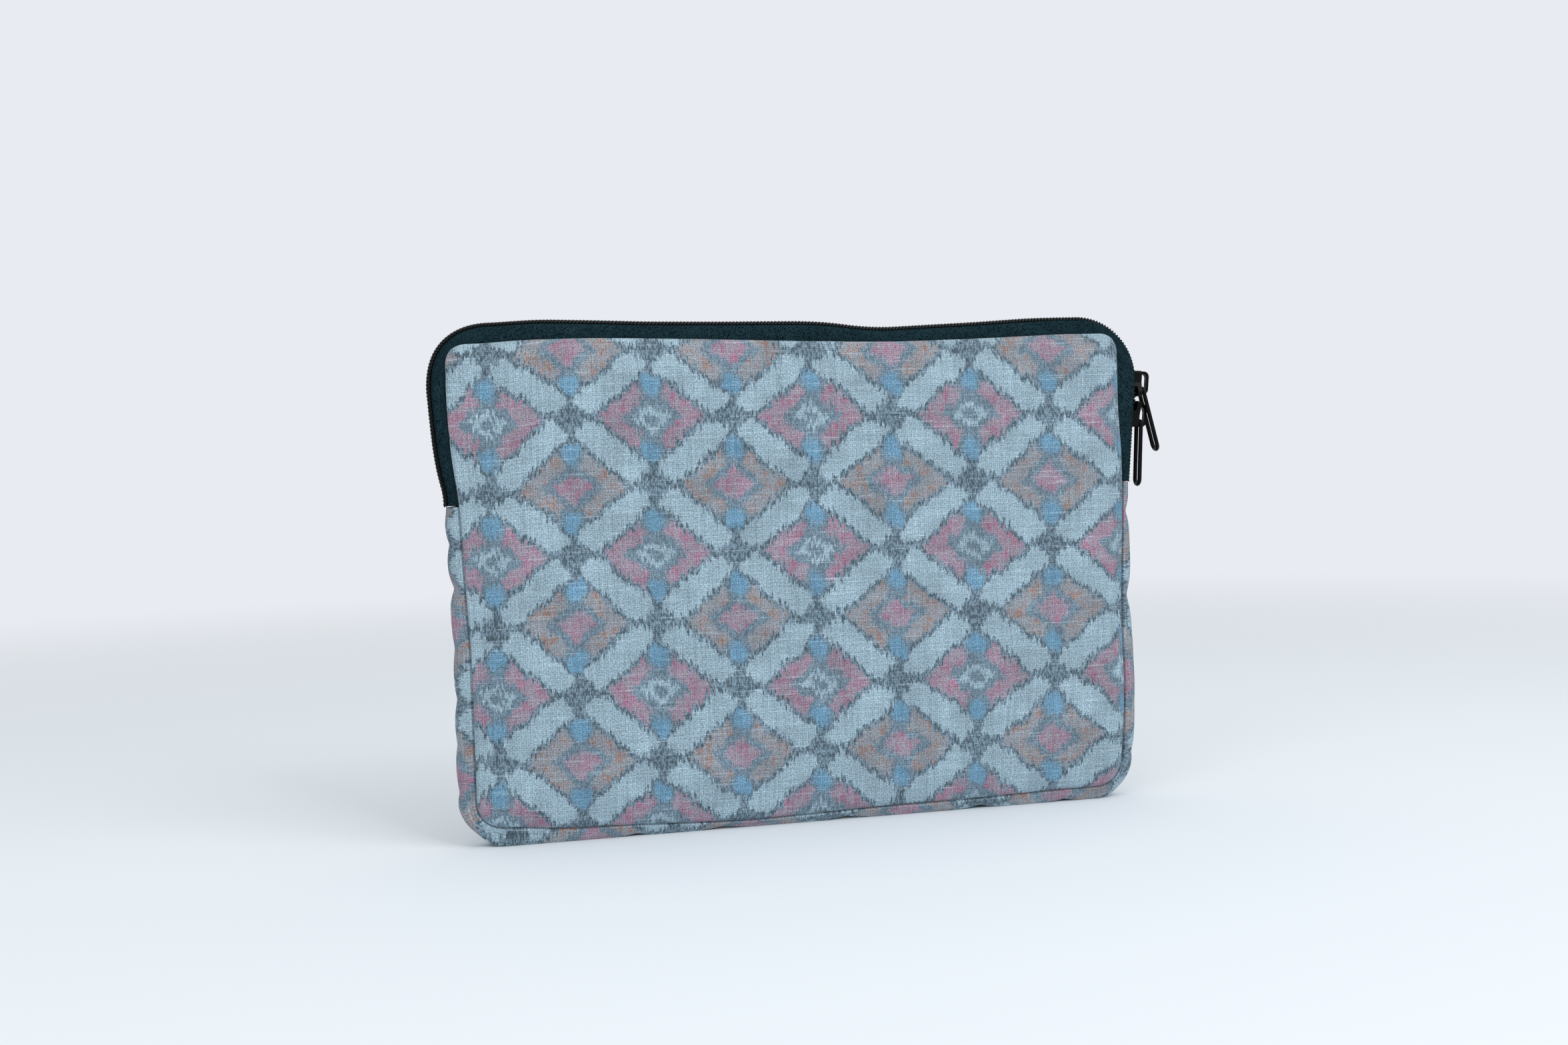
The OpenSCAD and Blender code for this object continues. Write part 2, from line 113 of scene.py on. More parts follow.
def ikatCotton():
    material, t, shader = newMaterial("ikat_cotton_plain_weave", ikat["pale"], 0.92)
    soft = {"interpolation_type": "SMOOTHSTEP"}
    color = {"data_type": "RGBA"}
    flat = addNode(t, "Attribute", attribute_name="flat", out=1)  # place on the flat cloth
    flat = addNode(t, "VectorMath SCALE", flat, 1000.0)  # in mm
    x = addNode(t, "SeparateXYZ", flat, out=0)
    z = addNode(t, "SeparateXYZ", flat, out=1)
    # each warp thread slips along its length, pairs of threads slip too, and the whole sheet is a little uneven
    threads = addNode(t, "Math DIVIDE", x, ikat["thread"])
    thread = addNode(t, "Math FLOOR", threads)
    pair = addNode(t, "Math FLOOR", addNode(t, "Math MULTIPLY_ADD", threads, 0.5, 400.0))
    slip = addNode(t, "TexWhiteNoise", thread, noise_dimensions="1D")
    slip = addNode(t, "Math MULTIPLY_ADD", slip, ikat["slip"], -ikat["slip"] / 2)
    pairSlip = addNode(t, "TexWhiteNoise", pair, noise_dimensions="1D")
    pairSlip = addNode(t, "Math MULTIPLY_ADD", pairSlip, ikat["pairSlip"], -ikat["pairSlip"] / 2)
    slip = addNode(t, "Math ADD", slip, pairSlip)
    sway = addNode(t, "TexNoise", flat, 0.07, 2.0, 0.6, out=1)
    swayX, swayZ = [
        addNode(t, "Math MULTIPLY_ADD", addNode(t, "SeparateColor", sway, out=k), ikat["sway"], -ikat["sway"] / 2)
        for k in (0, 1)
    ]
    a = addNode(t, "Math ADD", x, swayX)
    a = addNode(t, "Math DIVIDE", addNode(t, "Math SUBTRACT", a, ikat["centreX"]), ikat["repeatX"])
    wider = addNode(t, "Math MULTIPLY", addNode(t, "Math MULTIPLY", x, x), ikat["spread"])
    a = addNode(t, "Math SUBTRACT", a, wider)
    b = addNode(t, "Math ADD", addNode(t, "Math ADD", z, slip), swayZ)
    b = addNode(t, "Math ADD", b, addNode(t, "Math MULTIPLY", x, ikat["skew"]))
    b = addNode(t, "Math DIVIDE", addNode(t, "Math SUBTRACT", b, ikat["centreZ"]), ikat["repeatZ"])
    # diamonds are squares along the two diagonals; each knot lies where four of them meet
    p = addNode(t, "Math ADD", a, b)
    q = addNode(t, "Math SUBTRACT", a, b)
    dp = addNode(t, "Math WRAP", p, 0.5, -0.5)
    dq = addNode(t, "Math WRAP", q, 0.5, -0.5)
    kp = addNode(t, "Math WRAP", addNode(t, "Math ADD", p, 0.5), 0.5, -0.5)
    kq = addNode(t, "Math WRAP", addNode(t, "Math ADD", q, 0.5), 0.5, -0.5)
    cellSum = addNode(t, "Math ADD", addNode(t, "Math SUBTRACT", p, dp), addNode(t, "Math SUBTRACT", q, dq))
    isTan = addNode(t, "Math GREATER_THAN", addNode(t, "Math PINGPONG", cellSum, 1.0), 0.5)
    far = addNode(t, "Math MAXIMUM", addNode(t, "Math ABSOLUTE", dp), addNode(t, "Math ABSOLUTE", dq))
    wide = addNode(t, "Math ABSOLUTE", addNode(t, "Math ADD", dp, dq))
    wide = addNode(t, "Math MULTIPLY", wide, ikat["repeatX"] / 2)  # mm from the diamond's middle
    high = addNode(t, "Math ABSOLUTE", addNode(t, "Math SUBTRACT", dp, dq))
    high = addNode(t, "Math MULTIPLY", high, ikat["repeatZ"] / 2)
    knotX = addNode(t, "Math MULTIPLY", addNode(t, "Math ADD", kp, kq), ikat["repeatX"] / 2 / ikat["knot"][0])
    knotZ = addNode(t, "Math MULTIPLY", addNode(t, "Math SUBTRACT", kp, kq), ikat["repeatZ"] / 2 / ikat["knot"][1])
    knotX = addNode(t, "Math MULTIPLY", knotX, knotX)
    knotZ = addNode(t, "Math MULTIPLY", knotZ, knotZ)
    stem = addNode(t, "Math PINGPONG", addNode(t, "Math MULTIPLY", a, 2.0), 0.5)
    stem = addNode(t, "Math MULTIPLY", stem, ikat["repeatX"] / 2)  # mm from the nearest line of knots
    # masks: bars on the borders, chevrons, middle of a diamond and its pupil, dots above and below
    knot = addNode(t, "MapRange", addNode(t, "Math ADD", knotX, knotZ), 0.8, 1.2, 0.0, 1.0, **soft)
    slit = addNode(t, "MapRange", knotZ, 0.06, 0.17, 0.0, 1.0, **soft)
    barSide = addNode(t, "MapRange", far, *ikat["bar"], 0.0, 1.0, **soft)
    barEnd = addNode(t, "MapRange", stem, 1.3, 2.9, 0.0, 1.0, **soft)
    bar = addNode(t, "Math MULTIPLY", barSide, barEnd)
    bar = addNode(t, "Math MULTIPLY", bar, addNode(t, "Math MULTIPLY", knot, slit))
    dotX = addNode(t, "Math POWER", addNode(t, "Math DIVIDE", wide, ikat["dot"][0]), 2.0)
    dotZ = addNode(t, "Math SUBTRACT", high, ikat["dotAt"])
    dotZ = addNode(t, "Math POWER", addNode(t, "Math DIVIDE", dotZ, ikat["dot"][1]), 2.0)
    dotFar = addNode(t, "Math ADD", dotX, dotZ)
    dot = addNode(t, "MapRange", dotFar, 1.45, 0.55, 0.0, 1.0, **soft)
    chevronOut = addNode(t, "MapRange", far, *ikat["chevronOuter"], 0.0, 1.0, **soft)
    chevronIn = addNode(t, "MapRange", far, *ikat["chevronInner"], 0.0, 1.0, **soft)
    chevronGap = addNode(t, "MapRange", wide, 2.8, 4.2, 0.0, 1.0, **soft)
    chevronEnd = addNode(t, "MapRange", dotFar, 1.9, 2.8, 0.0, 1.0, **soft)  # rounded off before the dots
    chevron = addNode(t, "Math MULTIPLY", chevronOut, chevronIn)
    chevron = addNode(t, "Math MULTIPLY", chevron, addNode(t, "Math MULTIPLY", chevronGap, chevronEnd))
    eyeHigh = addNode(t, "Math ADD", isTan, ikat["eye"][1])  # the tan diamonds have a taller middle
    eyeHigh = addNode(t, "Math DIVIDE", high, eyeHigh)
    eyeFar = addNode(t, "Math ADD", addNode(t, "Math DIVIDE", wide, ikat["eye"][0]), eyeHigh)
    middle = addNode(t, "MapRange", eyeFar, 1.1, 0.9, 0.0, 1.0, **soft)
    pupilX = addNode(t, "Math POWER", addNode(t, "Math DIVIDE", wide, ikat["pupil"][0]), 2.0)
    pupilZ = addNode(t, "Math POWER", addNode(t, "Math DIVIDE", high, ikat["pupil"][1]), 2.0)
    pupil = addNode(t, "MapRange", addNode(t, "Math ADD", pupilX, pupilZ), 1.3, 0.6, 0.0, 1.0, **soft)
    pupil = addNode(t, "Math MULTIPLY", pupil, addNode(t, "Math SUBTRACT", 1.0, isTan))
    # dye colours, with stray red and rust threads in the rose and the tan, and dark dashes beside the bars
    strand = addNode(t, "TexNoise", addNode(t, "VectorMath MULTIPLY", flat, (0.6, 0.14, 1)), 1.0, 3.0, 0.65)
    strand = addNode(t, "Math ADD", strand, addNode(t, "TexNoise", flat, 0.16, 2.0, 0.6))  # in blotches
    redPart = addNode(t, "MapRange", strand, 0.92, 1.26, 0.0, 0.95)
    rustPart = addNode(t, "MapRange", strand, 0.98, 1.26, 0.0, 0.95)
    threadStep = addNode(t, "Math MULTIPLY", thread, 7.31)  # so that neighbours have nothing in common
    dashes = addNode(t, "CombineXYZ", threadStep, addNode(t, "Math MULTIPLY", z, 0.42))
    dashes = addNode(t, "TexNoise", dashes, 1.0, 0.0)
    border = addNode(t, "MapRange", far, 0.29, 0.352, 0.5, 1.0)
    inkPart = addNode(t, "Math MULTIPLY", addNode(t, "MapRange", dashes, 0.43, 0.60, 0.0, 1.0), border)
    ground = addNode(t, "Mix", inkPart, hexColor(ikat["slate"]), hexColor(ikat["ink"]), **color)
    rose = addNode(t, "Mix", redPart, hexColor(ikat["rose"]), hexColor(ikat["redThread"]), **color)
    tan = addNode(t, "Mix", rustPart, hexColor(ikat["tan"]), hexColor(ikat["rust"]), **color)
    dyed = addNode(t, "Mix", bar, ground, hexColor(ikat["pale"]), **color)
    dyed = addNode(t, "Mix", chevron, dyed, addNode(t, "Mix", isTan, rose, tan, **color), **color)
    eye = addNode(t, "Mix", isTan, hexColor(ikat["pale"]), rose, **color)
    dyed = addNode(t, "Mix", middle, dyed, eye, **color)
    dyed = addNode(t, "Mix", pupil, dyed, ground, **color)
    dyed = addNode(t, "Mix", dot, dyed, hexColor(ikat["blue"]), **color)
    # plain weave: the pale weft shows between the warp threads, and shade is painted into the small gaps between the
    # pairs
    woven = addNode(t, "Mix", 0.2, dyed, hexColor(ikat["weft"]), **color)
    waveX = addNode(t, "Math SINE", addNode(t, "Math MULTIPLY", x, math.pi / ikat["weave"]))
    waveZ = addNode(t, "Math SINE", addNode(t, "Math MULTIPLY", z, math.pi / ikat["weave"] * 1.07))
    wave = addNode(t, "Math MULTIPLY", waveX, waveZ)
    gap = addNode(t, "MapRange", addNode(t, "Math MULTIPLY", wave, wave), 0.3, 0.9, 0.0, 1.0, **soft)
    # slubs: thicker, paler picks that run on for some way, and threads of uneven thickness
    pick = addNode(t, "TexNoise", addNode(t, "VectorMath MULTIPLY", flat, (0.05, 1.1, 1)), 1.0, 1.0, 0.5)
    warp = addNode(t, "TexNoise", addNode(t, "VectorMath MULTIPLY", flat, (0.95, 0.03, 1)), 1.0, 1.0, 0.5)
    slub = addNode(t, "MapRange", pick, 0.61, 0.77, 0.0, 0.38)
    woven = addNode(t, "Mix", slub, woven, hexColor(ikat["slub"]), **color)
    uneven = addNode(t, "MapRange", addNode(t, "Math ADD", pick, warp), 0.6, 1.4, 0.80, 1.20)
    patchy = addNode(t, "TexNoise", flat, 0.05, 2.0, 0.6)
    patchy = addNode(t, "MapRange", patchy, 0.3, 0.7, 0.85, 1.15)  # uneven dye
    crossing = addNode(t, "TexNoise", flat, 0.9 / ikat["thread"], 0.0)
    grain = addNode(t, "MapRange", crossing, 0.25, 0.75, 0.68, 1.32)  # no two crossings catch the light alike
    # painted light and shade: painted shade darkens the gaps between the pairs, and each crossing is painted lighter
    # or darker as the light it catches; the thicker threads come out a little lighter, and the patchy dye is the
    # cloth's own
    paintedLightAndDye = addNode(t, "Math MULTIPLY", uneven, addNode(t, "MapRange", gap, 0.0, 1.0, 1.05, 0.72))
    paintedLightAndDye = addNode(t, "Math MULTIPLY", addNode(t, "Math MULTIPLY", paintedLightAndDye, grain), patchy)
    t.links.new(addNode(t, "VectorMath SCALE", woven, paintedLightAndDye), shader.inputs["Base Color"])
    height = addNode(t, "Math SUBTRACT", uneven, gap)
    t.links.new(addNode(t, "Bump", 0.4, 0.0002, None, height), shader.inputs["Normal"])
    shader.inputs["Sheen Weight"].default_value = 0.08
    shader.inputs["Specular IOR Level"].default_value = 0.05
    return material


# polyester zipper tape, woven in a fine twill: dull dark green with a pebbled look, its raised grains painted lighter
# and the hollows between them painted with shade
tapeLook = {"base": "#274049", "dark": "#0e1a1e", "rib": 0.6}


def tapeTwill():
    material, t, shader = newMaterial("polyester_tape_twill", tapeLook["base"], 0.7)
    flat = addNode(t, "Attribute", attribute_name="flat", out=1)
    scale = 1 / (tapeLook["rib"] * mm)
    grain = addNode(t, "TexVoronoi", addNode(t, "VectorMath MULTIPLY", flat, (scale, scale, 1)), 1.0)
    depth = addNode(t, "MapRange", grain, 0.1, 0.75, 1.0, 0.0)
    patchy = addNode(t, "TexNoise", flat, 90.0, 3.0, 0.6)
    # painted light and shade: the colour follows the grains' height, darker in the hollows between them and lighter
    # on their tops; the patchy tone is the tape's own
    tone = addNode(t, "Math MULTIPLY", depth, addNode(t, "MapRange", patchy, 0.3, 0.7, 0.6, 1.2))
    base = addNode(t, "Mix", tone, hexColor(tapeLook["dark"]), hexColor(tapeLook["base"]), data_type="RGBA")
    t.links.new(base, shader.inputs["Base Color"])
    t.links.new(addNode(t, "Bump", 0.3, 0.0002, None, depth), shader.inputs["Normal"])
    shader.inputs["Specular IOR Level"].default_value = 0.0  # woven, so without gloss
    return material


# black nylon monofilament: moulded smooth, so it glints on every turn
coilLook = {"base": "#030404", "roughness": (0.10, 0.20)}


def nylonCoil():
    material, t, shader = newMaterial("nylon_monofilament", coilLook["base"], 0.15)
    place = addNode(t, "TexCoord", out=3)
    mottle = addNode(t, "TexNoise", place, 1500.0, 2.0, 0.5)
    t.links.new(addNode(t, "MapRange", mottle, 0.3, 0.7, *coilLook["roughness"]), shader.inputs["Roughness"])
    shader.inputs["Specular IOR Level"].default_value = 0.22
    return material


# die-cast zinc and steel wire under black lacquer: satin, with faint brush marks and rubbed spots
lacquerLook = {"base": "#060606", "rubbed": "#141313", "roughness": (0.2, 0.4)}


def blackLacquer():
    material, t, shader = newMaterial("black_lacquered_metal", lacquerLook["base"], 0.3)
    place = addNode(t, "TexCoord", out=3)
    rub = addNode(t, "TexNoise", place, 420.0, 4.0, 0.65)
    rubbed = addNode(t, "MapRange", rub, 0.56, 0.74, 0.0, 0.8)
    tones = hexColor(lacquerLook["base"]), hexColor(lacquerLook["rubbed"])
    base = addNode(t, "Mix", rubbed, *tones, data_type="RGBA")
    t.links.new(base, shader.inputs["Base Color"])
    t.links.new(addNode(t, "MapRange", rub, 0.3, 0.7, *lacquerLook["roughness"]), shader.inputs["Roughness"])
    peel = addNode(t, "TexNoise", place, 2600.0, 2.0, 0.5)
    t.links.new(addNode(t, "Bump", 0.12, 0.0001, None, peel), shader.inputs["Normal"])
    shader.inputs["Specular IOR Level"].default_value = 0.1
    return material


# inside cloths: plain taffeta lining and grosgrain binding, both with fine ribs, their grooves painted with shade
def ribbedCloth(name, base, dark, ribMm):
    material, t, shader = newMaterial(name, base, 0.75)
    flat = addNode(t, "Attribute", attribute_name="flat", out=1)
    rib = addNode(t, "TexWave", flat, math.pi / 10 / (ribMm * mm), 0.4, 1.0, 1.0, bands_direction="Y", out=1)
    fade = addNode(t, "TexNoise", flat, 40.0, 3.0, 0.6)
    # painted shade: the colour follows the ribs' height, darker in the grooves between them; the fading tone is the
    # cloth's own
    tone = addNode(t, "Math MULTIPLY", rib, addNode(t, "MapRange", fade, 0.3, 0.7, 0.6, 1.0))
    mixed = addNode(t, "Mix", tone, hexColor(dark), hexColor(base), data_type="RGBA")
    t.links.new(mixed, shader.inputs["Base Color"])
    t.links.new(addNode(t, "Bump", 0.4, 0.0002, None, rib), shader.inputs["Normal"])
    return material


# open-cell foam: matt and full of tiny pores, painted darker as the shade inside them
foamLook = {"base": "#d9d4c6", "poreShade": "#b9b2a0", "rib": "#e2ddd0"}


def padFoam():
    material, t, shader = newMaterial("polyurethane_foam", foamLook["base"], 0.95)
    place = addNode(t, "TexCoord", out=3)
    pores = addNode(t, "TexVoronoi", place, 1400.0)
    # painted shade: the pores are coloured darker, following the same height as the bump
    mixed = addNode(t, "Mix", pores, hexColor(foamLook["poreShade"]), hexColor(foamLook["rib"]), data_type="RGBA")
    t.links.new(mixed, shader.inputs["Base Color"])
    t.links.new(addNode(t, "Bump", 0.5, 0.0003, None, pores), shader.inputs["Normal"])
    return material


cottonMaterial = ikatCotton()
tapeMaterial = tapeTwill()
coilMaterial = nylonCoil()
lacquerMaterial = blackLacquer()
liningMaterial = ribbedCloth("polyester_taffeta_lining", "#3f4f55", "#2c393e", 0.5)
bindingMaterial = ribbedCloth("grosgrain_binding", "#2d373a", "#1b2224", 0.9)
foamMaterial = padFoam()
print("materials made")

# the sleeve's own sizes in mm, as in the solids
sleeve = {
    "halfW": 166, "low": 5.2, "high": 235.2, "seamY": 6.5, "faceY": 11, "edge": 16,
    "topR": 10, "bottomR": 15, "zipEnd": 160, "shoulder": 4.6,
}
middleZ = (sleeve["low"] + sleeve["high"]) / 2
halfH = (sleeve["high"] - sleeve["low"]) / 2
# how the soft sleeve has settled, all in mm: a place, the shift of the seam there and that of what lies outside it
settled = {
    "top": (  # upwards, over x; nothing where the sliders run
        (-190, 0, 1.8), (-165, 0, 1.8), (-147, 0.5, 1.4), (-134, 1.5, 2.2), (-122, 1.9, 2.7), (-98, 2.1, 2.0),
        (-72, 1.4, 1.0), (-34, 0.2, 0.4), (-16, -0.5, 0.3), (5, -1.2, 0.1), (18, -1.6, -0.8), (32, -1.9, -2.8),
        (45, -2.2, -3.5), (65, -1.9, -2.7), (92, -1.4, -1.7), (120, -0.5, -0.2), (134, 0, 0), (200, 0, 0),
    ),
    "left": (  # towards the right, over z
        (-10, 3, 3), (74, 3, 3), (95, 2.8, 2.8), (111, 1.9, 1.9), (137, 0.9, 0.9), (156, 0.1, 0.3),
        (162, -0.3, 2.5), (171, -1.4, 0.6), (183, -3.0, -0.4), (198, -4.0, -0.4), (214, -4.4, 0.0),
        (226, -4.3, -1.2), (236, -4.3, -2.6), (260, -4.3, -2.6),
    ),
    "right": (  # towards the right, over z
        (-10, -2.6, -2.6), (19, -2.6, -2.2), (31, -1.2, -1), (60, 0, 0), (89, -0.9, -0.5), (118, 0, 0),
        (150, 1.2, 0), (168, 1.4, 0), (182, 0.9, 0), (196, 0, 0), (260, 0, 0),
    ),
    "bottom": (  # upwards, over x
        (-190, 2, 0), (-166, 2, 0), (-160, 3, 0), (-154, 3.7, 0), (-146, 3.3, 0), (-126, 1.2, 0), (-103, 0.5, 0),
        (-80, -0.2, 0), (-57, -1.2, 0), (-33, -1.9, 0), (5, -1.3, 0), (30, -0.5, 0), (82, -0.2, 0), (134, 0.8, 0),
        (166, 1, 0), (190, 1, 0),
    ),
}


def smooth(t):
    t = min(max(t, 0.0), 1.0)
    return t * t * (3 - 2 * t)


def shift(side, place, outside):
    total = 0
    for step in (-6, -4, -2, 0, 2, 4, 6):  # averaged over a short stretch, so that the line has no corners
        at = place + step
        rows = settled[side]
        k = next((i for i in range(1, len(rows) - 1) if at < rows[i][0]), len(rows) - 1)
        part = min(max((at - rows[k - 1][0]) / (rows[k][0] - rows[k - 1][0]), 0.0), 1.0)
        ends = [row[1] + (row[2] - row[1]) * outside for row in (rows[k - 1], rows[k])]
        total += ends[0] + (ends[1] - ends[0]) * part
    return total / 7


def settle(x, y, z, at=None, outside=None):
    atX, atZ = at or (x, z)  # the place whose shift is taken, so that a coil and the tape's flat move as one
    besideX = besideZ = outside  # how far that place is from the seam to the chain, 0 to 1
    if outside is None:  # panels and gusset
        besideX, besideZ = min(max((abs(atX) - sleeve["halfW"]) / sleeve["shoulder"], 0.0), 1.0), 0.0
    across = shift("left" if atX < 0 else "right", atZ, besideX) * min(abs(atX) / sleeve["halfW"], 1.0)
    up = shift("top", atX, besideZ) * smooth((atZ - 150) / 80)
    up += shift("bottom", atX, 0) * smooth((60 - atZ) / 55) * smooth(atZ / 5)
    return Vector((x + across, y, z + up)) * mm


def gridSheet(nx, nz, place, flatAt):
    # flat grid whose points are laid out by place(u, v), with their place on the flat cloth kept
    bm = bmesh.new()
    flat = bm.verts.layers.float_vector.new("flat")
    bmesh.ops.create_grid(bm, x_segments=nx, y_segments=nz, size=0.5)
    for vert in bm.verts:
        u, v = vert.co.x + 0.5, vert.co.y + 0.5
        vert[flat] = Vector((*flatAt(u, v), 0)) * mm
        vert.co = place(u, v)
    return bm


def addPiece(name, bm, material, body, node):
    mesh = bpy.data.meshes.new(name)
    bm.to_mesh(mesh)
    bm.free()
    mesh.materials.append(material)
    for face in mesh.polygons:
        face.use_smooth = True
    piece = bpy.data.objects.new(name, mesh)
    scene.collection.objects.link(piece)
    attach(piece, body)
    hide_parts(node)
    return piece


def thicken(piece, thickness, levels=0):
    if levels:
        fine = piece.modifiers.new("fine", "SUBSURF")
        fine.levels = fine.render_levels = levels
    wall = piece.modifiers.new("wall", "SOLIDIFY")
    wall.thickness = thickness * mm
    wall.offset = -1


# padded panels: cotton over foam, drawn down to the seam all round
panelCloth = {
    "columns": 100, "rows": 72, "crowd": 0.7,  # grid lines crowd towards the seam
    "thickness": 0.8, "turnIn": 2.5, "pucker": 0.65,
    "extra": 0.004, "pressure": 0.8, "frames": 20, "cap": 1.2,  # cloth cut this share larger, swelling in mm
    "takeUp": 1.4, "overEdge": 6,  # mm of cloth taken up by the rounded edge, in the pattern and in the cut
    "backAt": (21, 17),  # mm, the back is cut from another stretch of the cloth
}


def spread(t, crowd):
    return t - crowd * math.sin(2 * math.pi * t) / (2 * math.pi)


def roundCorner(x, z):
    # moves a point of the full rectangle into the outline with rounded corners
    radius = sleeve["topR"] if z > middleZ else sleeve["bottomR"]
    across = (abs(x) - (sleeve["halfW"] - radius)) / radius
    up = (abs(z - middleZ) - (halfH - radius)) / radius
    if across > 0 and up > 0:
        x = math.copysign(sleeve["halfW"] - radius + radius * across * math.sqrt(1 - up * up / 2), x)
        z = middleZ + math.copysign(halfH - radius + radius * up * math.sqrt(1 - across * across / 2), z - middleZ)
    return x, z


def panelPoint(u, v, side, inset=0.0, seamInset=0.0):
    x = (2 * spread(u, panelCloth["crowd"]) - 1) * (sleeve["halfW"] - seamInset)
    height = sleeve["high"] - sleeve["low"] - 2 * seamInset
    z = sleeve["low"] + seamInset + spread(v, panelCloth["crowd"]) * height
    edge = sleeve["edge"]
    fromX = min((sleeve["halfW"] - seamInset - abs(x)) / edge, 1)
    fromZ = min(min(z - sleeve["low"] - seamInset, sleeve["high"] - seamInset - z) / edge, 1)
    rise = math.sqrt(max(0, 1 - (1 - fromX) ** 2)) * math.sqrt(max(0, 1 - (1 - fromZ) ** 2))
    x, z = roundCorner(x, z)
    deep = sleeve["seamY"] + 0.1 + (sleeve["faceY"] - sleeve["seamY"] - 0.1 - inset) * rise
    if not inset:  # the cloth puckers beside its seam
        for along, gone in ((z, fromX), (x, fromZ)):
            crease = noise.noise(Vector((along / 5.5, side * 3.0, gone)))
            deep += panelCloth["pucker"] * crease * math.exp(-gone * 2) * (1 - math.exp(-gone * 9))
    return settle(x, side * deep, z)


def flatPanel(u, v, side):
    x = (2 * spread(u, panelCloth["crowd"]) - 1) * sleeve["halfW"]
    z = sleeve["low"] + spread(v, panelCloth["crowd"]) * (sleeve["high"] - sleeve["low"])
    place = settle(x, 0, z) / mm
    for axis, fromMiddle, half in ((0, x, sleeve["halfW"]), (2, z - middleZ, halfH)):
        gone = min((half - abs(fromMiddle)) / sleeve["edge"], 1)
        steep = 1 - math.sqrt(max(0, 1 - (1 - gone) ** 2))
        place[axis] += math.copysign(panelCloth["takeUp"] * steep ** 2.2, fromMiddle)
    if side > 0:
        return panelCloth["backAt"][0] - place.x, panelCloth["backAt"][1] + place.z
    drawn = 0.03 * (place.z - 85) * smooth((-113 - place.x) / 42)  # drawn together along the left seam
    drift = 2.2 * smooth((place.x - 55) / 50) * smooth((65 - place.z) / 40)  # and pulled aside at the lower right
    return place.x + drift, place.z + drawn


def fillOut(piece, pinned, settings):
    # the cloth swells against its seam; no point may move further than the cap
    group = piece.vertex_groups.new(name="seam")
    group.add(pinned, 1.0, "REPLACE")
    cloth = piece.modifiers.new("cloth", "CLOTH")
    cloth.settings.quality = 6
    cloth.settings.mass = 0.2
    cloth.settings.bending_stiffness = 4
    cloth.settings.vertex_group_mass = "seam"
    cloth.settings.shrink_min = -settings["extra"]
    cloth.settings.use_pressure = True
    cloth.settings.uniform_pressure_force = settings["pressure"]
    cloth.settings.effector_weights.gravity = 0
    cloth.collision_settings.use_collision = False
    cloth.point_cache.frame_start = 1
    cloth.point_cache.frame_end = settings["frames"]
    for number in range(1, settings["frames"] + 1):
        scene.frame_set(number)
    swollen = piece.evaluated_get(bpy.context.evaluated_depsgraph_get()).data
    places = [v.co.copy() for v in swollen.vertices]
    piece.modifiers.remove(cloth)
    piece.vertex_groups.clear()
    for vert, place in zip(piece.data.vertices, places):
        move = place - vert.co
        move -= vert.normal * min(move.dot(vert.normal), 0.0)  # the foam keeps it from sinking in
        if move.length > settings["cap"] * mm:
            move *= settings["cap"] * mm / move.length
        vert.co += move
    scene.frame_set(1)


def makePanel(name, side, node):
    bm = gridSheet(
        panelCloth["columns"], panelCloth["rows"],
        lambda u, v: panelPoint(u, v, side), lambda u, v: flatPanel(u, v, side),
    )
    if side > 0:
        bmesh.ops.reverse_faces(bm, faces=bm.faces)
    rim = [e for e in bm.edges if e.is_boundary]
    turned = bmesh.ops.extrude_edge_only(bm, edges=rim)["geom"]  # seam allowance, turned in
    middle = Vector((0, 0, middleZ)) * mm
    shrink = Vector((1 - panelCloth["turnIn"] / sleeve["halfW"], 1, 1 - panelCloth["turnIn"] / halfH))
    for vert in [g for g in turned if isinstance(g, bmesh.types.BMVert)]:
        vert.co = middle + (vert.co - middle) * shrink
        vert.co.y -= side * 0.1 * mm
    bm.verts.index_update()
    rimVerts = {v.index for e in rim for v in e.verts}
    rimVerts |= {g.index for g in turned if isinstance(g, bmesh.types.BMVert)}
    piece = addPiece(name, bm, cottonMaterial, "sleeve", node)
    fillOut(piece, sorted(rimVerts), panelCloth)
    thicken(piece, panelCloth["thickness"], 1)
    print("made", name)


# foam pads under the cotton, with a flat back against the lining
foamPad = {"inset": 2.0, "seamInset": 2.3, "backY": 6.35, "columns": 48, "rows": 34}


def makePad(name, side, node):
    def place(u, v):
        spot = panelPoint(u, v, side, foamPad["inset"], foamPad["seamInset"])
        spot.y += side * 0.35 * mm
        return spot
    bm = gridSheet(foamPad["columns"], foamPad["rows"], place, lambda u, v: flatPanel(u, v, side))
    if side > 0:
        bmesh.ops.reverse_faces(bm, faces=bm.faces)
    rim = [e for e in bm.edges if e.is_boundary]
    back = bmesh.ops.extrude_edge_only(bm, edges=rim)["geom"]
    for vert in [g for g in back if isinstance(g, bmesh.types.BMVert)]:
        vert.co.y = side * foamPad["backY"] * mm
    backRim = [g for g in back if isinstance(g, bmesh.types.BMEdge) and g.is_boundary]
    bmesh.ops.triangle_fill(bm, edges=backRim, use_beauty=True)
    bmesh.ops.recalc_face_normals(bm, faces=bm.faces)
    piece = addPiece(name, bm, foamMaterial, "sleeve", node)
    print("made", name)


makePad("front_foam_pad", -1, "front_foam")
makePad("back_foam_pad", 1, "back_foam")
makePanel("front_panel_cotton", -1, "front_panel")
makePanel("back_panel_cotton", 1, "back_panel")

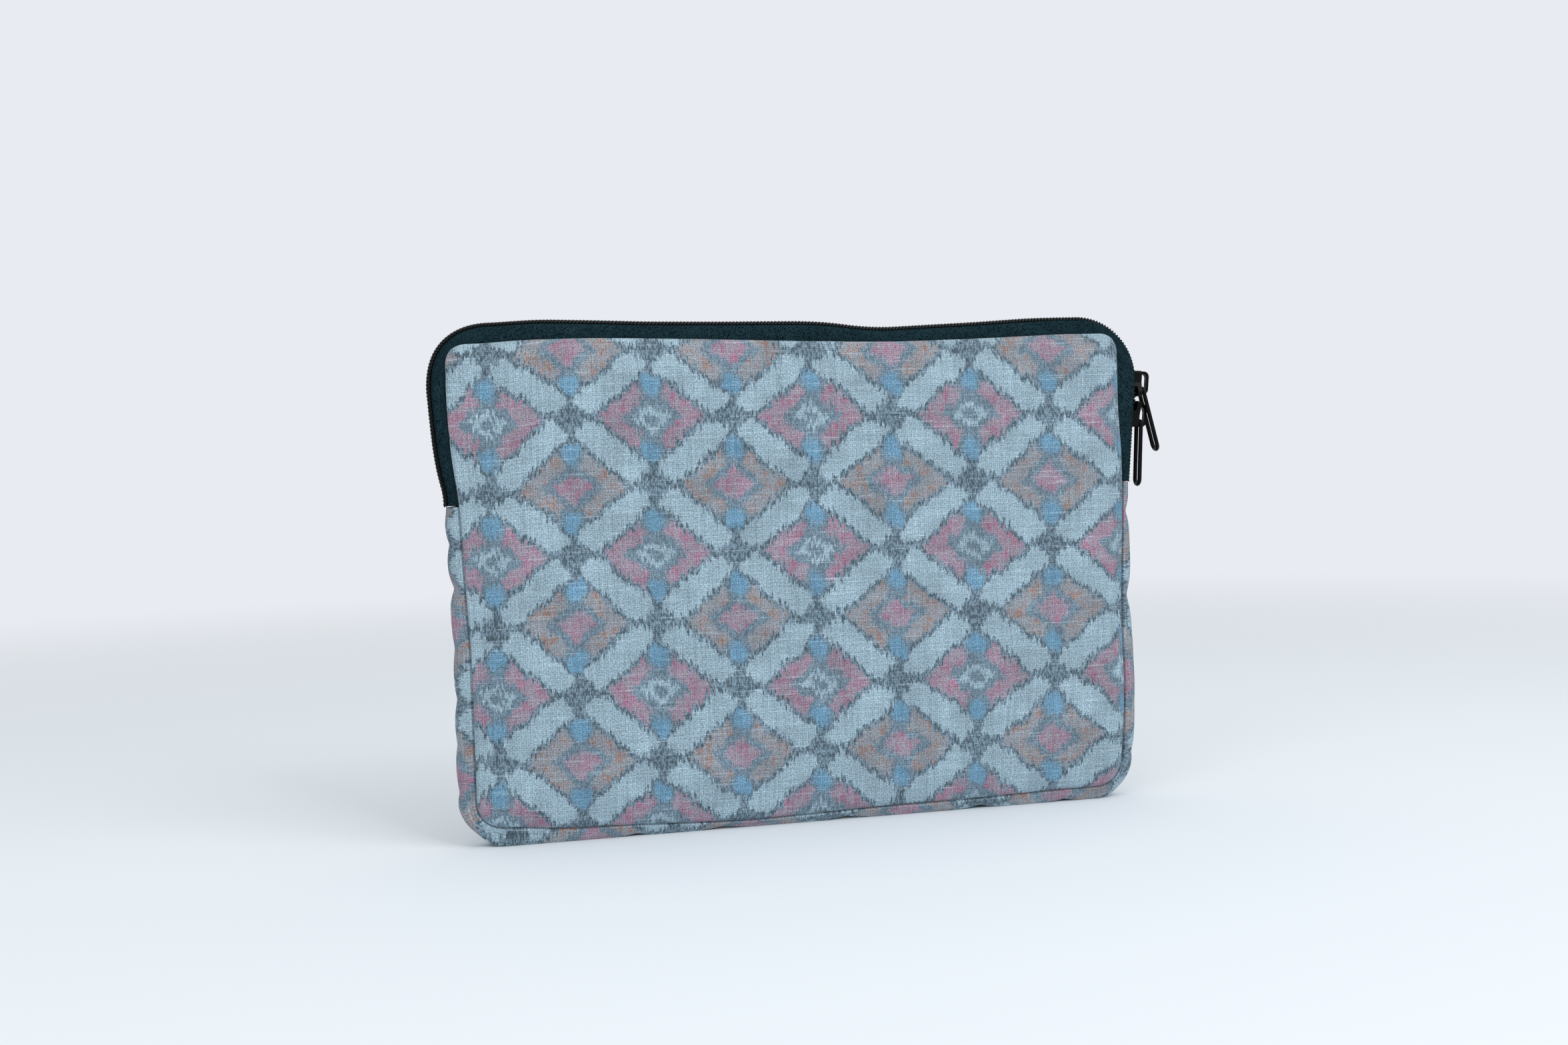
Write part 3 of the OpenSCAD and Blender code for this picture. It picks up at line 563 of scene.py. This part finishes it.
# gusset: one strip of the same cotton, gathered into the seams so that it puckers
gussetCloth = {
    "bottomBulge": 5.2, "sideBulge": 7.6, "endBulge": 6, "baseFlat": 5.5, "sideFlat": 2.0,
    "tuckY": 6.3, "tuckIn": 1.0, "roll": 1.3,
    "steps": 460, "across": 34, "crowd": 0.85, "thickness": 0.8,
    "width": 21, "patternW": 20, "cutAt": (-318, 96),  # mm, the strip and where it is cut from the cloth
    # pinches: mm along the strip from the left zip end, depth as a share of the bulge, half width in mm
    "pinches": (
        (18, 0.26, 4), (38, 0.40, 5), (66, 0.14, 5), (90, 0.18, 5), (112, 0.12, 5), (136, 0.16, 6),
        (225, 0.22, 5), (268, 0.34, 6), (331, 0.38, 6), (402, 0.34, 6), (448, 0.2, 5),
        (490, 0.16, 6), (570, 0.42, 7), (613, 0.40, 4),
    ),
}
gussetTop = sleeve["zipEnd"] - 0.3
gussetSide = gussetTop - sleeve["low"] - sleeve["bottomR"]
gussetArc = sleeve["bottomR"] * math.pi / 2
gussetFloor = 2 * (sleeve["halfW"] - sleeve["bottomR"])
gussetLength = 2 * gussetSide + 2 * gussetArc + gussetFloor


def gussetStation(s):
    # seam point, direction that the strip faces, bulge and flat at a length along the strip
    left = s < gussetLength / 2
    run = s if left else gussetLength - s
    low = sleeve["low"] + sleeve["bottomR"]
    if run < gussetSide:
        x, z, angle = -sleeve["halfW"], gussetTop - run, 180.0
        part = smooth(run / gussetSide)
        bulge = gussetCloth["endBulge"] + (gussetCloth["sideBulge"] - gussetCloth["endBulge"]) * part
        turn = 0
    elif run < gussetSide + gussetArc:
        turn = (run - gussetSide) / gussetArc
        angle = 180 + 90 * turn
        x = -sleeve["halfW"] + sleeve["bottomR"] * (1 + math.cos(math.radians(angle)))
        z = low + sleeve["bottomR"] * math.sin(math.radians(angle))
        bulge = gussetCloth["sideBulge"] + (gussetCloth["bottomBulge"] - gussetCloth["sideBulge"]) * smooth(turn)
    else:
        x = -sleeve["halfW"] + sleeve["bottomR"] + run - gussetSide - gussetArc
        z, angle = sleeve["low"], 270.0
        bulge, turn = gussetCloth["bottomBulge"], 1
    flat = gussetCloth["sideFlat"] + (gussetCloth["baseFlat"] - gussetCloth["sideFlat"]) * smooth(turn)
    if not left:
        x, angle = -x, 180 - angle
    return x, z, math.radians(angle), bulge, flat


def gussetPoint(u, v):
    s = u * gussetLength
    x, z, angle, bulge, flat = gussetStation(s)
    v = spread(v, gussetCloth["crowd"])
    turn = math.pi * v
    pinch = 0
    for at, depth, width in gussetCloth["pinches"]:
        skew = (s - at + 2.5 * math.sin(at) * math.cos(turn)) / width  # folds run a little askew
        pinch += depth * math.exp(-abs(skew) ** 1.4)
    ripple = 0.35 * noise.noise(Vector((s / 9, 3 * v, 0.7)))
    ripple += 0.2 * noise.noise(Vector((s / 3.5, 5 * v, 4.1)))
    out = bulge * (1 - pinch) + ripple * (0.35 + 0.65 * (1 - math.sin(turn)))
    lift = max(0.0, math.sin(turn)) ** 0.8
    y = math.copysign(flat, -math.cos(turn)) - (gussetCloth["tuckY"] - flat) * math.cos(turn)
    if math.sin(angle) < -math.cos(0.3):  # nothing stands out below the base
        out = min(out, bulge)
    n = out * lift - gussetCloth["tuckIn"] * (1 - lift)  # its edges lie under the panels' edges
    roll = gussetCloth["roll"] * smooth((n + 0.2) / 0.9) * math.exp(-max(n - 0.7, 0) / 3)
    y += math.copysign(roll, y)  # and roll forward beside them
    return settle(x + n * math.cos(angle), y, z + n * math.sin(angle))


def makeGusset():
    cutX, cutZ = gussetCloth["cutAt"]
    bm = gridSheet(
        gussetCloth["steps"], gussetCloth["across"], gussetPoint,
        lambda u, v: (u * gussetLength + cutX, gussetCloth["patternW"] * spread(v, gussetCloth["crowd"]) + cutZ),
    )
    bmesh.ops.recalc_face_normals(bm, faces=bm.faces)
    piece = addPiece("bottom_gusset_cotton", bm, cottonMaterial, "sleeve", "bottom_gusset")
    thicken(piece, gussetCloth["thickness"])
    print("made bottom_gusset_cotton")


makeGusset()

# zipper chain: a run up the right side, round the corner, along the top and down the left side
chain = {
    "arcX": 146.5, "arcZ": 212.1, "radius": 31.5, "lean": 5,  # mm and degrees
    "pitch": 1.7, "sliderPitch": 15.4, "partFrom": 0.2, "partRamp": 4.8, "partWidth": 1.6,
}
leanRad = math.radians(chain["lean"])


def onArc(angle):
    return chain["arcX"] + chain["radius"] * math.cos(angle), chain["arcZ"] + chain["radius"] * math.sin(angle)


runTop = onArc(-leanRad)
runLength = (runTop[1] - sleeve["zipEnd"]) / math.cos(leanRad)
arcLength = chain["radius"] * (math.pi / 2 + leanRad)
chainLength = 2 * runLength + 2 * arcLength + 2 * chain["arcX"]


def chainStation(s):
    # chain point, direction it faces, and the seam point beside it, at a length from the right zip end
    left = s > chainLength / 2
    run = chainLength - s if left else s
    if run < runLength:
        below = runLength - run
        angle = -leanRad
        point = (runTop[0] - below * math.sin(leanRad), runTop[1] - below * math.cos(leanRad))
        seamTop = sleeve["high"] - sleeve["topR"]
        seam = (sleeve["halfW"], sleeve["zipEnd"] + (seamTop - sleeve["zipEnd"]) * run / runLength)
    elif run < runLength + arcLength:
        part = (run - runLength) / arcLength
        angle = -leanRad + (math.pi / 2 + leanRad) * part
        point = onArc(angle)
        quarter = part * math.pi / 2
        corner = (sleeve["halfW"] - sleeve["topR"], sleeve["high"] - sleeve["topR"])
        seam = (corner[0] + sleeve["topR"] * math.cos(quarter), corner[1] + sleeve["topR"] * math.sin(quarter))
    else:
        across = run - runLength - arcLength
        angle = math.pi / 2
        point = (chain["arcX"] - across, chain["arcZ"] + chain["radius"])
        seam = (point[0] * (sleeve["halfW"] - sleeve["topR"]) / chain["arcX"], sleeve["high"])
    if left:
        point, seam, angle = (-point[0], point[1]), (-seam[0], seam[1]), math.pi - angle
    return point, angle, seam


def parting(s):
    # half the gap between the coils, which stand open between the two sliders
    below = runLength - s
    within = min(below, chain["sliderPitch"] - below) - chain["partFrom"]
    return chain["partWidth"] * min(max(within / chain["partRamp"], 0.0), 1.0)


# zipper tapes: from under the panel's edge, up in a soft curve and flat under the coil
tapeCloth = {
    "steps": 360, "across": 14, "thickness": 0.55, "width": 13.5, "tuck": 2.0, "drop": 2.0,
    "seamHalf": 6.45, "flatHalf": 5.3, "slitHalf": 1.1, "slope": 0.8,  # mm
}


def tapePoint(u, v, side):
    point, angle, seam = chainStation(u * chainLength)
    normal = (math.cos(angle), math.sin(angle))
    edge = (point[0] - tapeCloth["drop"] * normal[0], point[1] - tapeCloth["drop"] * normal[1])
    slope = tapeCloth["slope"] * smooth((130 - point[0]) / 20)  # away from the sliders it falls off beside the coil
    at, outside = point, 1.0
    if v < 0.2:  # tucked under the panel's edge
        part = v / 0.2
        at, outside = seam, 0.0
        back = tapeCloth["tuck"] * (1 - part)
        x, z = seam[0] - back * normal[0], seam[1] - back * normal[1]
        y = 6.2 + 0.25 * part
    elif v < 0.7:
        part = (v - 0.2) / 0.5
        at = (seam[0] + (point[0] - seam[0]) * part, seam[1] + (point[1] - seam[1]) * part)
        outside = min(1.45 * part, 1.0)
        edge = (edge[0] - slope * normal[0], edge[1] - slope * normal[1])
        x, z = seam[0] + (edge[0] - seam[0]) * part, seam[1] + (edge[1] - seam[1]) * part
        bow = 0.35 * 0.9 * math.sin(math.pi * part) * part
        y = tapeCloth["seamHalf"] + (tapeCloth["flatHalf"] - tapeCloth["seamHalf"]) * part ** 1.5 + bow
        x, z = x + bow * normal[0], z + bow * normal[1]
    else:
        part = (v - 0.7) / 0.3
        down = slope * max(0, 1 - part * 1.6)
        x, z = edge[0] - down * normal[0], edge[1] - down * normal[1]
        y = tapeCloth["flatHalf"] + (tapeCloth["slitHalf"] - tapeCloth["flatHalf"]) * part
    return settle(x, side * y, z, at, outside)


def makeTape(name, side, node):
    bm = gridSheet(
        tapeCloth["steps"], tapeCloth["across"], lambda u, v: tapePoint(u, v, side),
        lambda u, v: (u * chainLength, v * tapeCloth["width"]),
    )
    bmesh.ops.recalc_face_normals(bm, faces=bm.faces)
    bm.faces.ensure_lookup_table()
    if bm.faces[len(bm.faces) // 2].normal.y * side < 0:
        bmesh.ops.reverse_faces(bm, faces=bm.faces)
    piece = addPiece(name, bm, tapeMaterial, "sleeve", node)
    thicken(piece, tapeCloth["thickness"])


makeTape("front_zipper_tape_twill", -1, "front_zipper_tape")
makeTape("back_zipper_tape_twill", 1, "back_zipper_tape")
print("made zipper tapes")

# coils: one nylon filament each, wound into flattened turns that mesh in the middle
coilWire = {
    "radius": 0.42, "height": 1.9, "outer": 2.5, "reach": 0.5, "points": 12,
    "cord": 0.75, "cordOut": 0.35, "cordDown": 0.55,  # filler cord, low enough to rest on the tape
}


def makeCoil(name, side, phase, node):
    turns = round(chainLength / chain["pitch"])
    count = turns * coilWire["points"]
    curve = bpy.data.curves.new(name, "CURVE")
    curve.dimensions = "3D"
    curve.bevel_depth = coilWire["radius"] * mm
    curve.bevel_resolution = 1
    curve.use_fill_caps = True
    line = curve.splines.new("POLY")
    line.points.add(count)
    middleY = (coilWire["outer"] - coilWire["reach"]) / 2
    halfY = (coilWire["outer"] + coilWire["reach"]) / 2 - coilWire["radius"]
    middleN = -coilWire["height"] / 2
    halfN = coilWire["height"] / 2 - coilWire["radius"]

    def onChain(s, n, y):
        point, angle, _ = chainStation(s)
        x, z = point[0] + n * math.cos(angle), point[1] + n * math.sin(angle)
        return *settle(x, side * (y + parting(s)), z, point, 1.0), 1

    for k, spot in enumerate(line.points):
        turn = 2 * math.pi * (k / coilWire["points"] + phase)
        spot.co = onChain(chainLength * k / count, middleN + halfN * math.cos(turn), middleY + halfY * math.sin(turn))
    cord = curve.splines.new("POLY")
    cord.points.add(count // 6)
    for k, spot in enumerate(cord.points):
        s = chainLength * k / (count // 6)
        spot.co = onChain(s, middleN - coilWire["cordDown"], middleY + coilWire["cordOut"])
        spot.radius = coilWire["cord"] / coilWire["radius"]
    raw = bpy.data.objects.new(name + "_path", curve)
    scene.collection.objects.link(raw)
    bpy.context.view_layer.update()
    mesh = bpy.data.meshes.new_from_object(raw.evaluated_get(bpy.context.evaluated_depsgraph_get()))
    bpy.data.objects.remove(raw)
    bm = bmesh.new()
    bm.from_mesh(mesh)
    bpy.data.meshes.remove(mesh)
    bmesh.ops.recalc_face_normals(bm, faces=bm.faces)
    addPiece(name, bm, coilMaterial, "sleeve", node)


makeCoil("front_zipper_coil_nylon", -1, 0.0, "front_zipper_coil")
makeCoil("back_zipper_coil_nylon", 1, 0.5, "back_zipper_coil")
print("made zipper coils")

# linings, bindings and the strips inside the gusset
inside = {
    "liningY": 6.05, "liningInset": 2, "liningWave": 0.12,
    "bindingY": 5.5, "bindingInset": 1.5, "bindingW": 8, "bindingL": 1100,
}


def makeLining(name, side, node):
    inset = inside["liningInset"]
    wide, tall = 2 * (sleeve["halfW"] - inset), 2 * (halfH - inset)

    def place(u, v):
        x, z = roundCorner((u - 0.5) * wide, sleeve["low"] + inset + v * tall)
        wave = inside["liningWave"] * noise.noise(Vector((x / 40, side * 3.0, z / 40)))
        return settle(x, side * (inside["liningY"] + wave), z)
    bm = gridSheet(60, 44, place, lambda u, v: (u * wide, v * tall))
    if side < 0:
        bmesh.ops.reverse_faces(bm, faces=bm.faces)  # the right side of a lining faces the pocket
    piece = addPiece(name, bm, liningMaterial, "sleeve", node)
    thicken(piece, -0.5)


makeLining("front_lining_taffeta", -1, "front_lining")
makeLining("back_lining_taffeta", 1, "back_lining")


def outlineAt(t, inset):
    # point of the seam outline moved inwards, t from 0 to 1 round it from the right end of the bottom
    acrossHalf, upHalf = sleeve["halfW"] - inset, halfH - inset
    at = (t % 1) * 4 * (acrossHalf + upHalf)
    if at < 2 * upHalf:
        return roundCorner(acrossHalf, middleZ - upHalf + at)
    at -= 2 * upHalf
    if at < 2 * acrossHalf:
        return roundCorner(acrossHalf - at, middleZ + upHalf)
    at -= 2 * acrossHalf
    if at < 2 * upHalf:
        return roundCorner(-acrossHalf, middleZ + upHalf - at)
    return roundCorner(-acrossHalf + at - 2 * upHalf, middleZ - upHalf)


def makeBinding(name, side, node):
    def place(u, v):
        x, z = outlineAt(u, inside["bindingInset"] + inside["bindingW"] * v)
        return settle(x, side * inside["bindingY"], z)
    bm = gridSheet(300, 4, place, lambda u, v: (u * inside["bindingL"], v * inside["bindingW"]))
    bmesh.ops.remove_doubles(bm, verts=bm.verts, dist=1e-5)
    bmesh.ops.recalc_face_normals(bm, faces=bm.faces)
    bm.faces.ensure_lookup_table()
    if bm.faces[0].normal.y * side > 0:
        bmesh.ops.reverse_faces(bm, faces=bm.faces)
    piece = addPiece(name, bm, bindingMaterial, "sleeve", node)
    thicken(piece, -0.4)  # sewn flat along its whole length, so it is no free sheet


makeBinding("front_seam_binding_grosgrain", -1, "front_seam_binding")
makeBinding("back_seam_binding_grosgrain", 1, "back_seam_binding")

gussetStrips = {
    "lining": {"out": 0.3, "width": 10.8, "top": gussetTop, "thickness": 0.5},
    "foam": {"out": 1.0, "width": 8.0, "top": 88, "thickness": 2.0},
}


def makeStrip(name, material, slot, node):
    strip = gussetStrips[slot]
    skip = (gussetTop - strip["top"]) / gussetLength

    def place(u, v):
        x, z, angle, _, _ = gussetStation((skip + u * (1 - 2 * skip)) * gussetLength)
        out = strip["out"]
        return settle(x + out * math.cos(angle), (v - 0.5) * strip["width"], z + out * math.sin(angle))
    bm = gridSheet(200, 4, place, lambda u, v: (u * gussetLength, v * strip["width"]))
    bmesh.ops.recalc_face_normals(bm, faces=bm.faces)
    bm.faces.ensure_lookup_table()
    if bm.faces[len(bm.faces) // 2].normal.z > 0:
        bmesh.ops.reverse_faces(bm, faces=bm.faces)
    piece = addPiece(name, bm, material, "sleeve", node)
    thicken(piece, -strip["thickness"])
    return piece


liningStrip = makeStrip("gusset_lining_taffeta", liningMaterial, "lining", "gusset_lining")
foamStrip = makeStrip("gusset_foam_strip", foamMaterial, "foam", "gusset_foam")
print("made linings, bindings and strips")

# sliders and pullers are the solids themselves, under black lacquer
for node in ("upper_slider", "lower_slider", "upper_puller", "lower_puller"):
    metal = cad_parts[node]
    for k in range(len(metal.material_slots)):
        metal.material_slots[k].material = lacquerMaterial

# studio: pale floor that fades into an even background, soft lamps in front and above
studio = {"background": "#e8ebf1", "floor": "#e0e7ed", "fadeFrom": 0.6, "fadeTo": 1.7, "ambient": 0.6}


def makeFloor():
    bm = bmesh.new()
    bmesh.ops.create_circle(bm, cap_ends=True, segments=64, radius=2.4)
    mesh = bpy.data.meshes.new("studio_floor")
    bm.to_mesh(mesh)
    bm.free()
    floor = bpy.data.objects.new("studio_floor", mesh)
    scene.collection.objects.link(floor)
    material, t, shader = newMaterial("studio_paper", studio["floor"], 0.9)
    place = addNode(t, "TexCoord", out=3)
    far = addNode(t, "VectorMath LENGTH", place)
    reach = studio["fadeFrom"], studio["fadeTo"]
    fade = addNode(t, "MapRange", far, *reach, 0.0, 1.0, interpolation_type="SMOOTHSTEP")
    clear = addNode(t, "BsdfTransparent")
    mixed = addNode(t, "MixShader", fade, shader.outputs[0], clear)
    t.links.new(mixed, t.nodes["Material Output"].inputs["Surface"])
    mesh.materials.append(material)


def makeLight():
    world = bpy.data.worlds.new("studio_world")
    scene.world = world
    world.use_nodes = True
    t = world.node_tree
    t.nodes.clear()
    ambient = addNode(t, "Background", hexColor("#ffffff"), studio["ambient"])
    seen = addNode(t, "Background", hexColor(studio["background"]), 1.0)
    rays = [addNode(t, "LightPath", out=k) for k in (0, 3, 6)]  # camera, glossy and transmission rays
    shown = addNode(t, "Math MAXIMUM", addNode(t, "Math MAXIMUM", rays[0], rays[1]), rays[2])
    mixed = addNode(t, "MixShader", shown, ambient, seen)
    output = t.nodes.new("ShaderNodeOutputWorld")
    t.links.new(mixed, output.inputs["Surface"])
    lamps = (  # place, target, size, watts
        ((1.0, -1.5, 1.4), (0, 0, 0.08), 1.4, 17),
        ((0.35, -1.6, 1.6), (0, 0, 0.1), 0.2, 2.5),  # small, for the glints on coil and metal
        ((-1.1, -1.5, 1.2), (0, 0, 0.08), 1.4, 9.5),
        ((0.1, -0.1, 2.0), (0, 0, 0), 1.8, 9),
    )
    for k, (spot, target, size, watts) in enumerate(lamps):
        data = bpy.data.lights.new(f"softbox_{k}", "AREA")
        data.size = size
        data.energy = watts
        lamp = bpy.data.objects.new(f"softbox_{k}", data)
        aim = (Vector(target) - Vector(spot)).to_track_quat("-Z", "Y").to_matrix().to_4x4()
        lamp.matrix_world = Matrix.Translation(spot) @ aim
        scene.collection.objects.link(lamp)


makeFloor()
makeLight()
scene.view_settings.view_transform = "Standard"
print("studio made")
